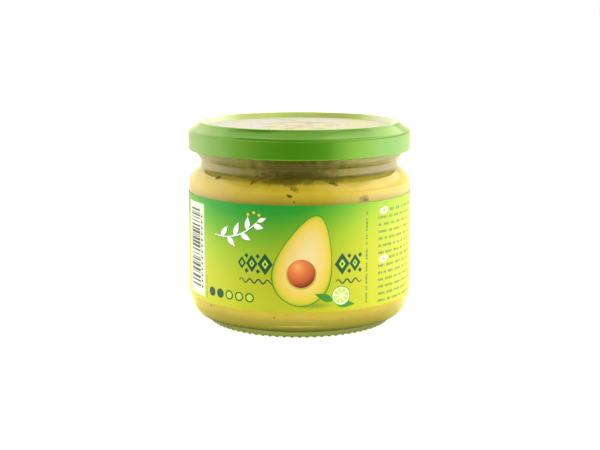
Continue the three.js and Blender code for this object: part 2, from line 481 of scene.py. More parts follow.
FRUIT_CENTRE = (2.2, 30.2)
FRUIT_TILT = -16.0  # degrees, its neck leans to the right
FRUIT_HALF_WIDTH = 10.0
FRUIT_HALF_LENGTH = 16.9
FRUIT_PEAR = 0.34  # how much slimmer the neck is than the belly
STONE_CENTRE = (-0.2, -4.9)  # on the fruit's own axes
STONE_RADIUS = 5.0
FRUIT_MARGIN = 0.32  # the skin's thickness round the flesh
FRUIT_SHADE_CENTRE = (4.6, 13.9)
FRUIT_SHADE_SPREAD = (0.125, 0.72)  # the shade's edge is where these times the way there make 1
SPRIG_LEAVES = ((1, 5.2), (-1, 4.8), (1, 5.6), (-1, 4.6), (1, 5.2), (-1, 4.0))  # side and length
STRIPE = 0.33  # the thinnest stripe and gap of the striped panel
TICK_PITCH = 0.75  # of the dark ticks across the bars of small print
TICK_WIDTH = 0.38
WORD_GAP = 0.75  # between two bars
TABLE_PITCH = 3.1  # between two rules of the table


def fruit_outline(inset=0.0):
    """Outline of the halved avocado, or one drawn inside it."""
    points = []
    steps = 72
    for i in range(steps):
        angle = 2 * math.pi * i / steps
        along = math.cos(angle)
        across = math.sin(angle) * (1 - FRUIT_PEAR * along) * (1 - 0.10 * (1 - along**2) * along)
        points.append(((FRUIT_HALF_WIDTH - inset) * across, (FRUIT_HALF_LENGTH - inset) * along))
    return turned_by(points, FRUIT_TILT, FRUIT_CENTRE)


def on_fruit(point):
    return turned_by([point], FRUIT_TILT, FRUIT_CENTRE)[0]


def draw_fruit(ink):
    """An avocado half lying tilted, with its whole stone."""
    ink("skin", fruit_outline())
    ink("flesh", fruit_outline(FRUIT_MARGIN))
    hollow = on_fruit((STONE_CENTRE[0] + 0.15, STONE_CENTRE[1] - 0.35))
    ink("hollow", oval(hollow, STONE_RADIUS + 0.45, STONE_RADIUS + 0.4))
    ink("stone", oval(on_fruit(STONE_CENTRE), STONE_RADIUS, STONE_RADIUS * 1.03, FRUIT_TILT))


def draw_lime(ink):
    """A slice of lime at the avocado's foot, on two leaves."""
    centre, radius = (15.2, 17.0), 3.6
    ink("leaf green", leaf((12.6, 14.6), 8.2, 3.0, -8))
    ink("leaf green", leaf((12.2, 15.4), 7.4, 2.8, 158))
    ink("rind", oval(centre, radius, radius))
    ink("pith", oval(centre, radius - 0.35, radius - 0.35))
    pips = 8
    for i in range(pips):
        middle = 360 * i / pips + 14
        wedge = [(0.45, 0.0)]
        for step in (-1, -0.5, 0, 0.5, 1):
            a = math.radians(step * (180 / pips - 5))
            wedge.append(((radius - 0.75) * math.cos(a), (radius - 0.75) * math.sin(a)))
        ink("pulp", turned_by(wedge, middle, centre))


def draw_sprig(ink):
    """A white sprig of leaves with three yellow berries, over its own narrow shade."""
    stem = bow((-34.2, 37.6), (-15.2, 43.8), -2.6, 20)
    leaves = [leaf(stem[-1], 3.6, 1.6, 24)]
    for i, (side, length) in enumerate(SPRIG_LEAVES):
        place, ahead = stem[3 + i * 3], stem[4 + i * 3]
        along = math.degrees(math.atan2(ahead[1] - place[1], ahead[0] - place[0]))
        leaves.append(leaf(place, length, 2.1, along + side * 52))
    for name, off in (("leaf green", 0.28), ("white", 0.0)):
        for outline in [ribbon(stem, 0.5), *leaves]:
            ink(name, [(x + off, y - off) for x, y in outline])
    for x, y in ((-18.9, 46.2), (-16.6, 47.0), (-14.6, 46.2)):
        ink("yellow", oval((x, y), 0.55, 0.55, steps=14))


def draw_diamond(ink, centre, size):
    """A bold dark diamond with a lime and a dark one in it."""
    ink("dark green", diamond(centre, 2.9 * size, 4.0 * size))
    ink("lime", diamond(centre, 1.25 * size, 1.75 * size))
    ink("dark green", diamond(centre, 0.55 * size, 0.8 * size))


def draw_wave(ink, left, right, middle):
    count = int((right - left) / 0.35)
    line = []
    for i in range(count + 1):
        x = left + (right - left) * i / count
        line.append((x, middle + 0.75 * math.sin(2 * math.pi * (x - left) / 3.4)))
    ink("dark green", ribbon(line, 0.6))


def draw_border(ink):
    """A row of bold dark diamonds on each side of the avocado, over a wavy line."""
    middle = 28.6
    for side, start in ((-1, -12.4), (1, 15.6)):
        for out, size in ((0, 1.0), (5.1, 0.8), (9.1, 0.58)):
            x = start + side * out
            if x < 24:
                draw_diamond(ink, (x, middle), size)
        for up in (-1, 1):
            for out in (2.75, 7.2):
                x = start + side * out
                ink("dark green", diamond((x, middle + 2.75 * up), 0.85, 0.95))
    draw_wave(ink, -22.6, -8.6, 22.2)
    draw_wave(ink, 13.2, 23.4, 22.2)


def draw_band(ink, left, right, middle):
    """A band of diamonds between two wavy lines, for the label's back."""
    count = round((right - left) / 5.6)
    pitch = (right - left) / count
    for i in range(count):
        draw_diamond(ink, (left + pitch * (i + 0.5), middle), 0.9)
        if i:
            for up in (-1, 1):
                ink("dark green", diamond((left + pitch * i, middle + 2.6 * up), 0.8, 0.9))
    for up in (-1, 1):
        draw_wave(ink, left, right, middle + 6.0 * up)


def draw_scale(ink):
    """A scale of five dots for the heat, two of them filled."""
    for i in range(5):
        centre = (-36.1 + 4.4 * i, 15.9)
        ink("dark green", oval(centre, 1.75, 1.75, steps=28))
        if i > 1:
            ink("lime", oval(centre, 1.25, 1.25, steps=28))


def draw_code(ink):
    """A plain white panel with stripes across it, and a row of short marks beside them."""
    ink("panel white", bar(-54.9, 12.9, -40.9, 47.7))
    chance = random.Random(11)
    y = 16.2
    while y < 44.6:
        thick = STRIPE * chance.choice((1, 1, 2, 2, 3))
        ink("black", bar(-52.4, y, -44.2, y + thick))
        y += thick + STRIPE * chance.choice((1, 1, 2, 2, 3))
    for i in range(13):
        y = 16.0 + 2.2 * i
        ink("black", bar(-43.4, y, -42.3, y + 0.7))
        ink("black", bar(-43.4, y + 0.9, -42.9, y + 1.3))


def draw_line(ink, start, length, height, chance, upright=False):
    """One line of small print: broken plain bars with darker ticks across them. It runs up the
    label instead of along it when it is upright."""

    def block(name, x0, x1):
        if upright:
            ink(name, bar(start[0] - height, start[1] + x0, start[0], start[1] + x1))
        else:
            ink(name, bar(start[0] + x0, start[1], start[0] + x1, start[1] + height))

    x = 0.0
    while x < length - 1.0:
        long = min(chance.uniform(1.4, 5.4), length - x)
        block("small print", x, x + long)
        for i in range(int(long / TICK_PITCH)):
            tick = x + TICK_PITCH * i + chance.uniform(0.0, 0.3)
            block("fine strokes", tick, tick + TICK_WIDTH)
        x += long + WORD_GAP


def draw_lines(ink, left, right, top, bottom, seed, height=0.95, pitch=2.6):
    """Lines of small print from the top down to the bottom."""
    chance = random.Random(seed)
    y = top
    while y > bottom:
        length = right - left - chance.choice((0.0, 0.0, 0.8, 2.6))
        draw_line(ink, (left, y - height), length, height, chance)
        y -= pitch


def draw_table(ink, left, right, top, rows):
    """A plain ruled table, with a bar in each of its two columns."""
    ink("panel white", bar(left, top - rows * TABLE_PITCH, right, top))
    chance = random.Random(23)
    for i in range(rows + 1):
        y = top - i * TABLE_PITCH
        ink("dark green", bar(left, y - 0.12, right, y + 0.12))
        if i < rows:
            ink("black", bar(left + 1.2, y - 1.9, left + chance.uniform(8, 17), y - 1.25))
            ink("black", bar(right - chance.uniform(4, 7), y - 1.9, right - 1.2, y - 1.25))


def label_shapes():
    """Every inked shape on the label in printing order: (ink, outline)."""
    shapes = []

    def ink(name, outline):
        shapes.append((name, outline))

    draw_sprig(ink)
    draw_border(ink)
    draw_scale(ink)
    draw_code(ink)
    draw_line(ink, (26.1, 13.2), 33.6, 0.8, random.Random(5), upright=True)
    draw_line(ink, (-39.3, 12.9), 9.0, 0.5, random.Random(6), upright=True)
    draw_fruit(ink)
    draw_lime(ink)
    for y in (46.3, 28.5):
        ink("panel white", oval((34.2, y), 2.3, 1.3, 8, 24))
        ink("small print", oval((34.2, y), 0.6, 0.62, 0, 12))
    draw_lines(ink, 37.4, 57.5, 46.9, 46.0, 31, 1.15)
    draw_lines(ink, 31.2, 57.5, 44.3, 31.0, 32)
    draw_lines(ink, 37.4, 57.5, 29.1, 28.5, 33, 1.15)
    draw_lines(ink, 31.2, 57.5, 26.5, 13.4, 34)
    draw_lines(ink, 61.5, 88.0, 46.9, 22.0, 35)
    ink("panel white", bar(62.0, 13.6, 87.0, 19.6))
    draw_table(ink, 93.0, 126.0, 46.6, 9)
    draw_lines(ink, 93.0, 126.0, 16.4, 13.4, 36)
    draw_band(ink, 132.0, 177.0, 39.0)
    draw_lines(ink, 132.0, 158.0, 30.2, 13.4, 38)
    ink("panel white", bar(161.0, 13.6, 177.0, 30.2))
    draw_lines(ink, -88.0, -60.5, 46.9, 13.6, 37)
    return shapes


def area(polygon):
    """Signed area of a flat shape: positive when it runs anticlockwise."""
    pairs = zip(polygon, polygon[1:] + polygon[:1])
    return sum(x0 * y1 - x1 * y0 for (x0, y0), (x1, y1) in pairs) / 2


def printed_sheet(outline, shapes, rulings, ground):
    """Triangles of a flat sheet cut along every shape that is printed on it, and for each
    triangle the ink of the last shape that covers it, or the ground's."""
    points, faces, edges = [], [], []
    for polygon in [outline] + [s for _, s in shapes]:
        around = list(range(len(points), len(points) + len(polygon)))
        faces.append(around if area(polygon) > 0 else around[::-1])
        points += polygon
    for start, end in rulings:
        edges.append((len(points), len(points) + 1))
        points += [start, end]
    cut = delaunay_2d_cdt([Vector(p) for p in points], edges, faces, 1, 1e-5, True)
    places, triangles, owners = cut[0], cut[2], cut[5]
    names = [ground] + [name for name, _ in shapes]
    kept = [(tuple(t), names[max(owner)]) for t, owner in zip(triangles, owners) if 0 in owner]
    return [tuple(p) for p in places], [t for t, _ in kept], [name for _, name in kept]


def make_sheet(name, flat, place, normal, thickness, back, inks):
    """Bends a flat printed sheet to its place and gives it its thickness. Its print keeps a UV
    map in millimetres; its back and edges are plain."""
    points, triangles, covers = flat
    count = len(points)
    front = [place(u, v, 0.0) for u, v in points]
    rear = [place(u, v, -thickness) for u, v in points]
    used = dict.fromkeys(e for a, b, c in triangles for e in ((a, b), (b, c), (c, a)))
    rims = [(a, b) for a, b in used if (b, a) not in used]
    faces = list(triangles) + [(a + count, c + count, b + count) for a, b, c in triangles]
    faces += [(b, a, a + count, b + count) for a, b in rims]
    mesh = bpy.data.meshes.new(name)
    mesh.from_pydata([Vector(p) * MM for p in front + rear], [], faces)
    order = list(inks)
    for key in order:
        mesh.materials.append(inks[key])
    mesh.materials.append(back)
    plain = [len(order)] * (len(faces) - len(triangles))
    mesh.polygons.foreach_set("material_index", [order.index(c) for c in covers] + plain)
    flat_map = mesh.uv_layers.new(name="print")
    for loop in mesh.loops:
        flat_map.data[loop.index].uv = points[loop.vertex_index % count]
    normals = []
    for polygon in mesh.polygons:
        for i in polygon.vertices:
            if polygon.index < len(triangles):
                normals.append(normal(*points[i]))
            elif polygon.index < 2 * len(triangles):
                normals.append([-n for n in normal(*points[i % count])])
            else:
                normals.append(polygon.normal)
    mesh.shade_smooth()
    mesh.normals_split_custom_set(normals)
    return show(name, mesh)


def lapped(u):
    """How far the label stands off at u: its last edge climbs over the first."""
    end = LABEL_START + 2 * math.pi * LABEL_RADIUS
    part = min(max((u - end + 2 * LAP_RAMP) / LAP_RAMP, 0.0), 1.0)
    return LAP_RISE * part * part * (3 - 2 * part)


def on_label(u, v, out):
    angle = u / LABEL_RADIUS
    radius = LABEL_RADIUS + lapped(u) + out
    return radius * math.sin(angle), -radius * math.cos(angle), v


def label_normal(u, v):
    angle = u / LABEL_RADIUS
    return math.sin(angle), -math.cos(angle), 0.0


def make_label(inks, back):
    end = LABEL_START + 2 * math.pi * LABEL_RADIUS + LABEL_LAP
    count = round((end - LABEL_START) / RULING)
    lines = [LABEL_START + (end - LABEL_START) * i / count for i in range(count + 1)]
    outline = [(u, LABEL_BOTTOM) for u in lines] + [(u, LABEL_TOP) for u in reversed(lines)]
    rulings = [((u, LABEL_BOTTOM), (u, LABEL_TOP)) for u in lines[1:-1]]
    flat = printed_sheet(outline, label_shapes(), rulings, "ground")
    return make_sheet("paper_label", flat, on_label, label_normal, LABEL_THICKNESS, back, inks)


# ---- The lid's print --------------------------------------------------------------------------


def draw_wreath(ink):
    """A pale wreath of leaves round a small disc, with dots and long leaves outside it."""
    leaves = 12
    for i in range(leaves):
        a = 360 * i / leaves
        stalk = turned_by([(8.6, 0.0)], a, (0.0, 0.0))[0]
        ink(("lid olive", "lid yellow")[i % 2], leaf(stalk, 7.4, 3.6, a + 38))
    ink("lid sand", oval((0.0, 0.0), 5.6, 5.6))
    ink("lid blush", oval((0.0, 0.0), 4.9, 4.9))
    ink("lid sand", oval((0.0, 0.0), 1.6, 1.6, steps=24))
    for i in range(24):
        a = 360 * i / 24 + 7.5
        centre = turned_by([(18.6, 0.0)], a, (0.0, 0.0))[0]
        ink(("lid sand", "lid yellow", "lid blush")[i % 3], oval(centre, 0.85, 0.85, steps=14))
    for i in range(5):
        a = 72 * i + 20
        stalk = turned_by([(21.5, 0.0)], a, (0.0, 0.0))[0]
        ink(("lid yellow", "lid olive")[i % 2], leaf(stalk, 10.5, 3.4, a + 64))
        ink("lid yellow", leaf(stalk, 8.5, 3.0, a - 58))


def panel_height(r):
    """Height of the lid's panel, which drops to a button that the seal pulls in."""
    part = min(max((r - BUTTON_FLAT) / BUTTON_STEP, 0.0), 1.0)
    return BUTTON_HEIGHT + BUTTON_DEPTH * (1 - math.cos(math.pi * part)) / 2


def on_panel(u, v, out):
    return u, v, panel_height(math.hypot(u, v)) + LID_PRINT_FILM + out


def panel_normal(u, v):
    r = max(math.hypot(u, v), 1e-6)
    slope = (panel_height(r + 0.01) - panel_height(r - 0.01)) / 0.02
    return Vector((-slope * u / r, -slope * v / r, 1.0)).normalized()


def make_lid_print(inks, back):
    shapes = []
    draw_wreath(lambda name, outline: shapes.append((name, outline)))
    rings = []
    for i in range(6):
        ring = oval((0.0, 0.0), BUTTON_FLAT + i / 5, BUTTON_FLAT + i / 5, steps=96)
        rings += list(zip(ring, ring[1:] + ring[:1]))
    outline = oval((0.0, 0.0), LID_PRINT_RADIUS, LID_PRINT_RADIUS, steps=160)
    flat = printed_sheet(outline, shapes, rings, "lid ground")
    return make_sheet("lid_print", flat, on_panel, panel_normal, LID_PRINT_FILM, back, inks)


# ---- Herb flecks ------------------------------------------------------------------------------

# Angle from the front in degrees, height, length, width and tilt of those that show in front.
FRONT_FLECKS = (
    (-49.2, 56.8, 3.2, 1.8, 30), (-25.4, 56.4, 2.6, 1.4, 45), (-4.0, 55.2, 1.2, 0.9, 80),
    (-4.9, 53.0, 2.9, 1.4, -6), (-2.6, 51.0, 0.9, 0.7, 30), (17.6, 56.4, 4.6, 1.5, -24),
    (35.4, 50.6, 2.8, 1.8, 10), (68.8, 6.7, 1.5, 0.9, 20), (76.9, 6.8, 1.2, 0.9, -30),
    (-53.9, 9.6, 1.6, 1.1, 15), (-13.3, 8.7, 1.2, 0.8, -40), (-17.4, 64.9, 1.6, 0.9, 30),
    (-2.2, 64.7, 1.2, 0.9, 70), (1.7, 63.9, 0.9, 1.0, 0), (4.5, 63.2, 1.5, 1.0, -35),
    (12.9, 64.6, 1.4, 0.7, 80), (-21.0, 60.0, 2.4, 1.4, -10), (-16.5, 60.7, 2.6, 1.7, 25),
    (-11.9, 60.1, 2.2, 1.9, -35), (-7.9, 59.8, 2.8, 1.5, 12), (-2.8, 59.3, 2.2, 1.2, -28),
)
# The others: bands of heights with the number in each, and the angles between which they lie.
HIDDEN_BANDS = ((7.0, 10.4, 12), (50.8, 57.0, 16), (59.4, 64.8, 14))
HIDDEN_ANGLES = (84, 276)
FLECK_THICKNESS = 0.26
FLECK_RISE = 0.08  # how far they stand out of the dip, into the glass


def skin_at(height):
    """Radius of the dip's skin at a height, and which way it faces: (radius, out, up)."""
    line = inner_glass(DIP_REACH, DIP_STEPS)[:-1]
    line = [(BORE_RADIUS + DIP_REACH, DIP_LEVEL, 0.0)] + line
    for (r0, z0, _), (r1, z1, _) in zip(line, line[1:]):
        if z1 <= height <= z0:
            part = (z0 - height) / (z0 - z1)
            run = math.hypot(r1 - r0, z1 - z0)
            return r0 + (r1 - r0) * part, (z0 - z1) / run, (r1 - r0) / run
    raise ValueError("no skin at this height")


def fleck_places():
    """Where the flecks lie: those in front, and others by chance round the sides and back."""
    chance = random.Random(7)
    places = list(FRONT_FLECKS)
    start, end = HIDDEN_ANGLES
    for low, high, count in HIDDEN_BANDS:
        for i in range(count):
            angle = start + (end - start) * (i + chance.uniform(0.1, 0.9)) / count
            length = chance.uniform(0.9, 2.6)
            width = length * chance.uniform(0.4, 0.8)
            height = chance.uniform(low, high)
            places.append((angle, height, length, width, chance.uniform(-90, 90)))
    return places


def fleck_points():
    """The flecks' places as a row of points that keep how each is turned and how large it is."""
    spots, turns, sizes = [], [], []
    for angle, height, length, width, tilt in fleck_places():
        radius, out, up = skin_at(height)
        s, c = math.sin(math.radians(angle)), math.cos(math.radians(angle))
        facing = Vector((out * s, -out * c, up))
        along = Vector((c, s, 0.0))
        over = facing.cross(along)
        a = math.radians(tilt)
        first = along * math.cos(a) + over * math.sin(a)
        second = facing.cross(first)
        place = Vector((radius * s, -radius * c, height))
        spots.append((place + facing * (FLECK_RISE - FLECK_THICKNESS / 2)) * MM)
        turns += Matrix((first, second, facing)).transposed().to_euler()
        sizes += [length / 2 * MM, width / 2 * MM, FLECK_THICKNESS / 2 * MM]
    mesh = bpy.data.meshes.new("fleck places")
    mesh.from_pydata(spots, [], [])
    for name, values in (("turn", turns), ("size", sizes)):
        mesh.attributes.new(name, "FLOAT_VECTOR", "POINT").data.foreach_set("vector", values)
    return mesh


def fleck_tree():
    """Lays one of four ragged flat scraps at each point."""
    tree, given, result = new_tree("herb flecks", [("Points", "Geometry"), ("Finish", "Material")])
    scraps = tree.nodes.new("GeometryNodeJoinGeometry")
    position = add(tree, "GeometryNodeInputPosition")
    for i in range(4):
        ball = add(tree, "GeometryNodeMeshIcoSphere", {"Radius": 1.0, "Subdivisions": 2})
        noise = add(
            tree, "TexNoise", {"Vector": position, "W": 9.0 * i, "Scale": 1.1, "Detail": 1.0},
            noise_dimensions="4D",
        )
        stretch = add(tree, "MapRange", (noise, 0.3, 0.7, 0.45, 1.1))
        ragged = add(tree, "VectorMath", (position, stretch), operation="SCALE")
        scrap = add(tree, "GeometryNodeSetPosition", {"Geometry": ball, "Position": ragged})
        whole = add(tree, "GeometryNodeGeometryToInstance", (scrap,))
        tree.links.new(whole.outputs[0], scraps.inputs[0])
    turn, size = (
        add(tree, "GeometryNodeInputNamedAttribute", {"Name": name}, data_type="FLOAT_VECTOR")
        for name in ("turn", "size")
    )
    rotation = add(tree, "FunctionNodeEulerToRotation", {"Euler": turn})
    laid = add(
        tree, "GeometryNodeInstanceOnPoints",
        {
            "Points": given.outputs["Points"], "Instance": scraps, "Pick Instance": True,
            "Rotation": rotation, "Scale": size,
        },
    )
    return end_tree(tree, laid, given, result)


# ---- Materials --------------------------------------------------------------------------------


def shade(material, values):
    """Finishes a material with a Principled shader of these values."""
    shader = add(material.node_tree, "BsdfPrincipled", values)
    add(material.node_tree, "OutputMaterial", {"Surface": shader})
    return material


def height_of(tree, position):
    """Height over the ground in millimetres."""
    place = add(tree, "SeparateXYZ", (position,))
    return add(tree, "Math", (place.outputs["Z"], 1000.0), operation="MULTIPLY")


def radius_of(tree, position):
    """Distance from the jar's axis in metres."""
    level = add(tree, "VectorMath", (position, (1, 1, 0)), operation="MULTIPLY")
    return add(tree, "VectorMath", (level,), operation="LENGTH").outputs["Value"]


# How many of each finish's marks there are in a metre.
GLASS_RIPPLE = 110.0  # the mould's slow ripple, about 9 mm
DIP_DRIFT = 160.0  # about 6 mm
DIP_DUST = 420.0  # places for a grain of herb dust, about 2.4 mm apart
DIP_GRAIN = 900.0  # fine pulp, about 1 mm
LEAF_TEAR = 420.0
HERB_VEINS = 1500.0
LACQUER_CLOUDS = 60.0
LACQUER_PEEL = 650.0  # orange peel, about 1.5 mm

GLASS_THICK = 8.0  # height up to which the glass has a colour: the green of thick glass, with painted shade over the heel
# The foot's own green, with painted shade: a dark olive band at about 3 to 4.4 mm that fades up
# through olive and a faint yellow to clear.
GLASS_TINT_AND_SHADE = (
    (0.0, "#8aa57e"), (0.07, "#b4d0a4"), (0.13, "#c0e6d4"), (0.28, "#c6eae6"), (0.37, "#344a10"),
    (0.45, "#2c3c06"), (0.55, "#78801c"), (0.65, "#c4b840"), (0.73, "#e4d67c"), (0.8, "#fff6bc"),
    (0.95, "#f5faf0"),
)
GLASS_FLOOR = (30.0, 33.0)  # the jar's floor gives way to its foot between these radii


def glass_material():
    """Moulded soda-lime glass, fire-polished: clear in the wall, pale green in the foot and its
    ribs, with a dark olive band of painted shade over them that fades up through olive and a faint
    yellow, and blue-green in the floor."""
    made, tree = new_material("moulded soda-lime glass")
    position = add(tree, "TexCoord").outputs["Object"]
    height = height_of(tree, position)
    low = add(tree, "MapRange", (height, 0.0, GLASS_THICK))
    # Painted shade: the ramp darkens the glass to olive over the heel's ribs.
    body = add(tree, "ValToRGB", (low,), stops=GLASS_TINT_AND_SHADE)
    inner, outer = (radius * MM for radius in GLASS_FLOOR)
    foot = add(tree, "MapRange", (radius_of(tree, position), inner, outer))
    body = add(tree, "Mix", (foot, "#84b8cc", body), data_type="RGBA")
    ripple = add(tree, "TexNoise", {"Vector": position, "Scale": GLASS_RIPPLE, "Detail": 1.0})
    bump = add(tree, "Bump", {"Strength": 0.25, "Distance": 0.0002, "Height": ripple})
    return shade(
        made,
        {
            "Base Color": body, "Roughness": 0.02, "IOR": 1.52, "Transmission Weight": 1.0,
            "Normal": bump,
        },
    )


NECK_SHADE_FULL_ABOVE = 58.9  # heights between which painted shade under the lid turns the dip from yellow to olive
NECK_SHADE_GONE_BELOW = 55.2
# Leaves that show through the dip's skin, and the widest patches are painted shade over the middle
# of the neck and the groove under the lid: degrees round from the front, height, how far they reach
# along and up, in millimetres, and how dark they are.
LEAVES_AND_PAINTED_SHADE = (
    (-3.0, 62.5, 24.0, 6.5, 0.83), (-8.5, 57.6, 14.0, 2.2, 0.75), (2.0, 58.5, 24.0, 1.3, 0.62),
    (-43.0, 63.0, 9.0, 5.0, 0.25), (-9.0, 60.6, 5.5, 2.6, 0.8), (-1.5, 59.4, 9.0, 2.2, 0.75),
    (-33.0, 58.6, 4.0, 1.6, 0.35), (18.0, 57.4, 4.2, 1.2, 0.6), (-2.0, 54.9, 1.5, 1.1, 0.6),
    (34.5, 51.2, 2.6, 1.4, 0.6), (24.0, 68.0, 6.0, 3.0, 0.45), (-17.0, 66.0, 5.0, 2.4, 0.45),
)


def leaf_and_painted_shade(tree, position):
    """How much of a leaf, or of the painted shade under the lid, shows through the dip's skin, from
    0 to 1.
    """
    tear = add(tree, "TexNoise", {"Vector": position, "Scale": LEAF_TEAR, "Detail": 2.0})
    swing = add(tree, "Math", (tear, 0.5), operation="SUBTRACT")
    ragged = add(tree, "Math", (swing, 1.3), operation="MULTIPLY")
    total = 0.0
    for degrees, height, along, up, depth in LEAVES_AND_PAINTED_SHADE:
        radius, angle = skin_at(height)[0], math.radians(degrees)
        centre = [c * MM for c in (radius * math.sin(angle), -radius * math.cos(angle), height)]
        off = add(tree, "VectorMath", (position, centre), operation="SUBTRACT")
        spread = add(
            tree, "VectorMath", (off, (1 / (along * MM), 1 / (along * MM), 1 / (up * MM))),
            operation="MULTIPLY",
        )
        far = add(tree, "VectorMath", (spread,), operation="LENGTH").outputs["Value"]
        torn = add(tree, "Math", (far, ragged), operation="ADD")
        share = add(tree, "MapRange", (torn, 0.3, 1.1, depth, 0.0), interpolation_type="SMOOTHSTEP")
        total = add(tree, "Math", (total, share), operation="MAXIMUM")
    return total


def dip_material():
    """Blended avocado dip, smooth and moist: a warm yellow with paler and greener drifts 6 mm
    across and fine green dust, drawn at 0.5 mm so that it shows. In the neck it is painted olive,
    as painted shade under the lid, and leaves show darker through its skin, with broad patches of
    painted shade over the neck's middle."""
    made, tree = new_material("blended avocado dip")
    position = add(tree, "TexCoord").outputs["Object"]
    drift = add(tree, "TexNoise", {"Vector": position, "Scale": DIP_DRIFT, "Detail": 3.0})
    body = add(
        tree, "ValToRGB", (drift,), stops=[(0.3, "#f6d63c"), (0.55, "#f9dc44"), (0.75, "#fbe252")]
    )
    olive = add(
        tree, "MapRange", (height_of(tree, position), NECK_SHADE_FULL_ABOVE, NECK_SHADE_GONE_BELOW, 1.0, 0.0),
        interpolation_type="SMOOTHSTEP",
    )
    # Painted shade under the lid: the dip is olive in the neck.
    body = add(tree, "Mix", (olive, body, "#b8aa30"), data_type="RGBA")
    # Leaves darken the dip, and painted shade darkens the middle of the neck and groove.
    leaves = leaf_and_painted_shade(tree, position)
    body = add(tree, "Mix", (leaves, body, "#6c6212"), data_type="RGBA")
    dust = add(tree, "TexVoronoi", {"Vector": position, "Scale": DIP_DUST})
    speck = add(tree, "MapRange", (dust.outputs["Distance"], 0.05, 0.16, 1.0, 0.0))
    draw = add(tree, "SeparateColor", (dust.outputs["Color"],))
    picked = add(tree, "Math", (draw, 0.9), operation="GREATER_THAN")
    share = add(tree, "Math", (speck, picked), operation="MULTIPLY")
    colour = add(tree, "Mix", (share, body, "#8a8a2c"), data_type="RGBA")
    grain = add(tree, "TexNoise", {"Vector": position, "Scale": DIP_GRAIN, "Detail": 4.0})
    bump = add(tree, "Bump", {"Strength": 0.3, "Distance": 0.0002, "Height": grain})
    return shade(made, {"Base Color": colour, "Roughness": 0.45, "IOR": 1.4, "Normal": bump})


def herb_material():
    """Chopped coriander leaf: dark, wet green, lighter along the veins."""
    made, tree = new_material("chopped coriander leaf")
    position = add(tree, "TexCoord").outputs["Object"]
    veins = add(tree, "TexNoise", {"Vector": position, "Scale": HERB_VEINS, "Detail": 2.0})
    colour = add(tree, "ValToRGB", (veins,), stops=[(0.35, "#5f5a1c"), (0.7, "#8f8534")])
    return shade(made, {"Base Color": colour, "Roughness": 0.4, "IOR": 1.4})


PAPER_FIBRE = 2.2  # bumps a millimetre, coarser than real fibres so that they show
INK_MOTTLE = 0.8  # clouds a millimetre


def printed(name, colour_of):
    """Coated label paper, offset printed and matt varnished: even ink with a weak, soft gloss."""
    made, tree = new_material(name)
    flat = add(tree, "UVMap", uv_map="print")
    fibre = add(tree, "TexNoise", {"Vector": flat, "Scale": PAPER_FIBRE, "Detail": 3.0})
    bump = add(tree, "Bump", {"Strength": 0.12, "Distance": 0.0001, "Height": fibre})
    colour = colour_of(tree, flat)
    return shade(
        made,
        {
            "Base Color": colour, "Roughness": 0.42, "IOR": 1.5, "Specular IOR Level": 0.25,
            "Normal": bump,
        },
    )


def even(code, other):
    """Ink of one colour, with the faint mottle of a printed solid."""

    def colour_of(tree, flat):
        mottle = add(tree, "TexNoise", {"Vector": flat, "Scale": INK_MOTTLE, "Detail": 2.0})
        return add(tree, "Mix", (mottle, code, other), data_type="RGBA")

    return colour_of


# How far the label's colours slide down at a place u along it, and how bright its ink is there.
# That brightness is painted shade: darkest a little left of the front and round the back, lightest
# at the sides.
GROUND_SLIDE = (
    (-60, 8.0), (-43, 3.6), (-33, 1.0), (-22, 0.0), (-13, 0.0), (0, 1.5), (10, 5.5), (19, 9.6),
    (24, 12.3), (32, 15.6), (60, 19.0),
)
GROUND_PAINTED_SHADE = (
    (-100, 0.8), (-60, 0.92), (-40, 0.94), (-30, 0.92), (-18, 0.84), (-10, 0.78), (4, 0.79),
    (18, 0.86), (26, 0.9), (36, 0.87), (60, 0.88), (95, 0.8), (134, 0.78),
)
GROUND_COLOURS = (
    (0.0, "#bfc316"), (0.3, "#b9c218"), (0.52, "#a2c01a"), (0.74, "#6aae1e"), (0.9, "#2c9e28"),
    (1.0, "#0c9a2c"),
)
SLIDE_SCALE = 20.0  # millimetres that stand for 1 in the ramp
GROUND_SPAN = 280.0  # millimetres along the label that the ramps cover


def ground_colour(tree, flat):
    """Deep green at the top of the label to bright lime at its foot. The green reaches lowest a
    little left of the front, painted shade darkens the ink most in front and at the back, and the
    avocado throws a soft shade on it."""
    place = add(tree, "SeparateXYZ", (flat,))
    u, v = place.outputs["X"], place.outputs["Y"]
    along = add(tree, "Math", (u, 1 / GROUND_SPAN, 0.5), operation="MULTIPLY_ADD")
    ramps = []
    for table, scale in ((GROUND_SLIDE, SLIDE_SCALE), (GROUND_PAINTED_SHADE, 1.0)):
        stops = [(t / GROUND_SPAN + 0.5, grey(value / scale)) for t, value in table]
        ramps.append(add(tree, "ValToRGB", (along,), stops=stops))
    slide, tone = ramps
    down = add(tree, "Math", (slide, SLIDE_SCALE), operation="MULTIPLY")
    height = add(tree, "Math", (v, down), operation="SUBTRACT")
    fall = add(tree, "MapRange", (height, LABEL_BOTTOM, LABEL_TOP))
    ink = add(tree, "ValToRGB", (fall,), stops=GROUND_COLOURS)
    # Painted shade: the tone darkens the ink in front and at the back.
    ink = add(tree, "Mix", (1.0, ink, tone), data_type="RGBA", blend_type="MULTIPLY")
    x, y = FRUIT_SHADE_CENTRE
    low = add(tree, "VectorMath", (flat, (-x, -y, 0.0)), operation="ADD")
    spread = add(tree, "VectorMath", (low, (*FRUIT_SHADE_SPREAD, 0.0)), operation="MULTIPLY")
    far = add(tree, "VectorMath", (spread,), operation="LENGTH").outputs["Value"]
    cast = add(tree, "MapRange", (far, 0.2, 1.15, 0.75, 0.0), interpolation_type="SMOOTHSTEP")
    return add(tree, "Mix", (cast, ink, "#668a10"), data_type="RGBA")


def fruit_place(tree, flat):
    """The print's place on the avocado's own axes, in millimetres."""
    turn = (0.0, 0.0, math.radians(FRUIT_TILT))
    frame_of_fruit = {"Vector": flat, "Location": (*FRUIT_CENTRE, 0.0), "Rotation": turn}
    return add(tree, "Mapping", frame_of_fruit, vector_type="TEXTURE")


